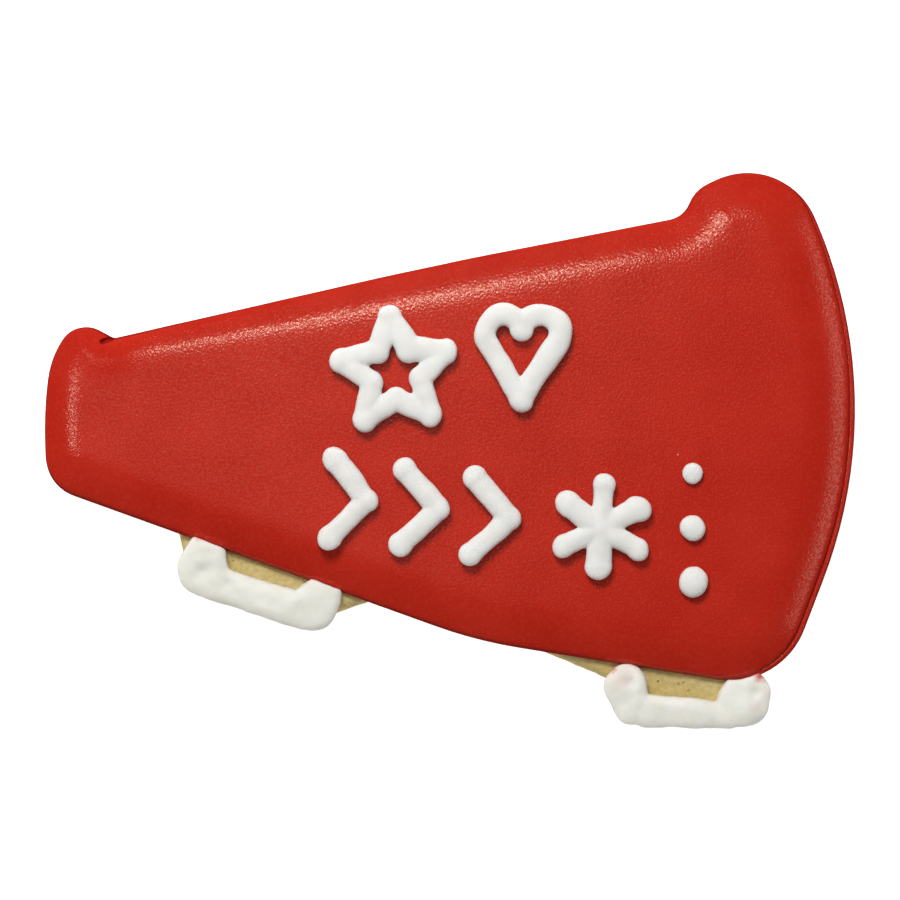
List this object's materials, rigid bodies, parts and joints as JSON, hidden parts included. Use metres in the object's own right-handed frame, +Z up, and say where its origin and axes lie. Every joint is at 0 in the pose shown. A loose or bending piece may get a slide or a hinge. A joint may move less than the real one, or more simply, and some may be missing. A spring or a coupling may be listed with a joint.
{
  "type": "iced megaphone-shaped cookie",
  "caption": "Flat sugar cookie cut in the outline of a cheer megaphone, flooded with red icing, with white icing handles and a few piped white shapes.",
  "frame": {"origin": "on the cookie's flat back, under the middle of the overall bounding box", "axes": "+X towards the megaphone's bell, +Y towards its upper side, away from the handles, +Z up out of the icing"},
  "size_m": [0.1122, 0.0768, 0.0121],
  "materials": {
    "baked_cookie": null,
    "red_icing": "satin dried sugar icing",
    "white_icing": "satin dried sugar icing"
  },
  "bodies": {
    "root": {"burst_ray_1": "white_icing", "burst_ray_2": "white_icing", "burst_ray_3": "white_icing", "burst_ray_4": "white_icing", "burst_stroke": "white_icing", "chevron_1_lower_stroke": "white_icing", "chevron_1_upper_stroke": "white_icing", "chevron_2_lower_stroke": "white_icing", "chevron_2_upper_stroke": "white_icing", "chevron_3_lower_stroke": "white_icing", "chevron_3_upper_stroke": "white_icing", "cookie_base": "baked_cookie", "dot_1": "white_icing", "dot_2": "white_icing", "dot_3": "white_icing", "front_handle_grip": "white_icing", "front_handle_left_leg": "white_icing", "front_handle_right_leg": "white_icing", "heart_stroke_left": "white_icing", "heart_stroke_right": "white_icing", "rear_handle_grip": "white_icing", "rear_handle_left_leg": "white_icing", "rear_handle_right_leg": "white_icing", "red_flood_icing": "red_icing", "red_outline_icing": "red_icing", "star_stroke_1": "white_icing", "star_stroke_2": "white_icing", "star_stroke_3": "white_icing", "star_stroke_4": "white_icing", "star_stroke_5": "white_icing"}
  },
  "joints": []
}
